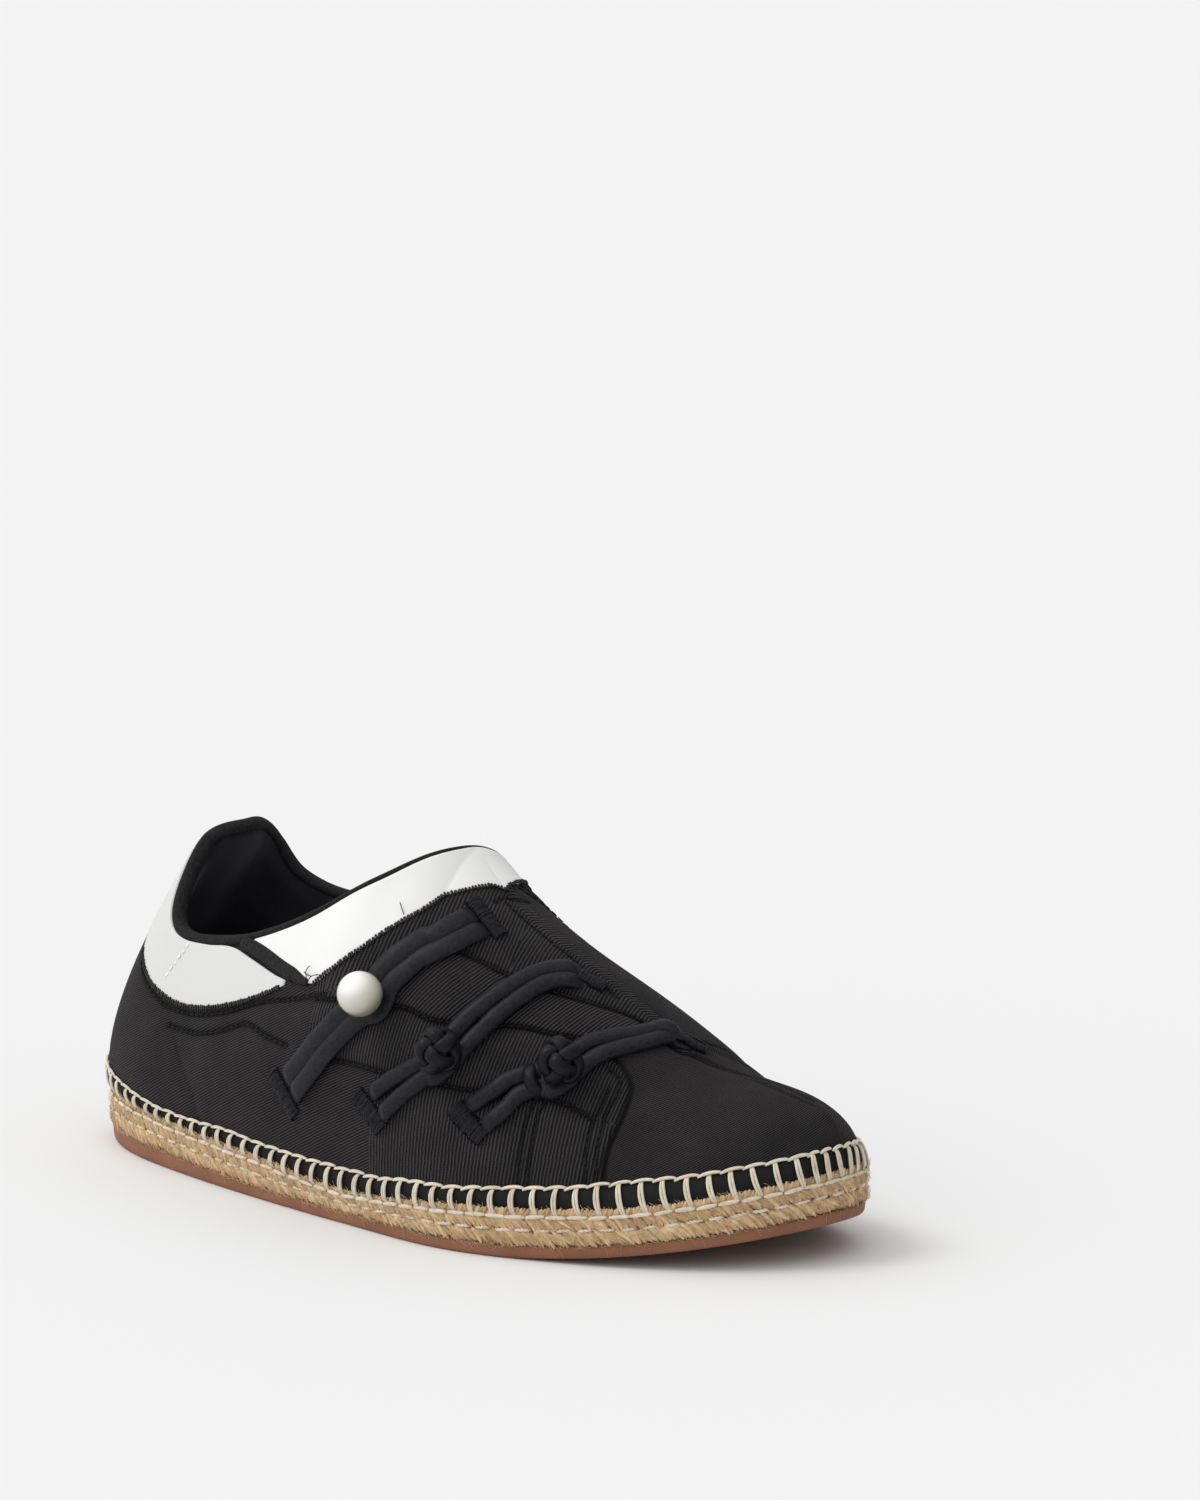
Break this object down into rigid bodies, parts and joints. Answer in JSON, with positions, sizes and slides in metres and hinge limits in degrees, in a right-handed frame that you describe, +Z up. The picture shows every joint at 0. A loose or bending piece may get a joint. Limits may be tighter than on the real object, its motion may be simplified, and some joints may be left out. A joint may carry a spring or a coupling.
{
  "type": "espadrille sneaker",
  "caption": "Low slip-on sneaker with a braided jute sole, a knitted wrap upper, smooth collar panels and corded frog fasteners.",
  "frame": {"origin": "middle of the whole shoe's box, on the floor", "axes": "+X to the toe, +Y to the inner side of the foot, +Z up"},
  "size_m": [0.285, 0.114, 0.1097],
  "materials": {
    "rubber": "matt brown rubber",
    "jute": "braided jute",
    "lining": "short velvety pile",
    "knit": "fine ribbed knit",
    "smooth": "smooth white",
    "satin": "satin cord",
    "pearl": "ivory pearl"
  },
  "bodies": {
    "root": {"outsole": "rubber", "midsole": "jute", "insole": "lining", "upper": "knit", "front_band": "smooth", "heel_panel": "smooth", "collar_binding": "lining", "frog_1_loop": "satin", "frog_1_tail": "satin", "frog_1_top_bar": "satin", "frog_1_low_bar": "satin", "frog_2_loop": "satin", "frog_2_tail": "satin", "frog_2_top_bar": "satin", "frog_2_low_bar": "satin", "frog_3_loop": "satin", "frog_3_tail": "satin", "frog_3_top_bar": "satin", "frog_3_low_bar": "satin", "pearl_button": "pearl", "knot_button_2": "satin", "knot_button_3": "satin"}
  },
  "joints": []
}
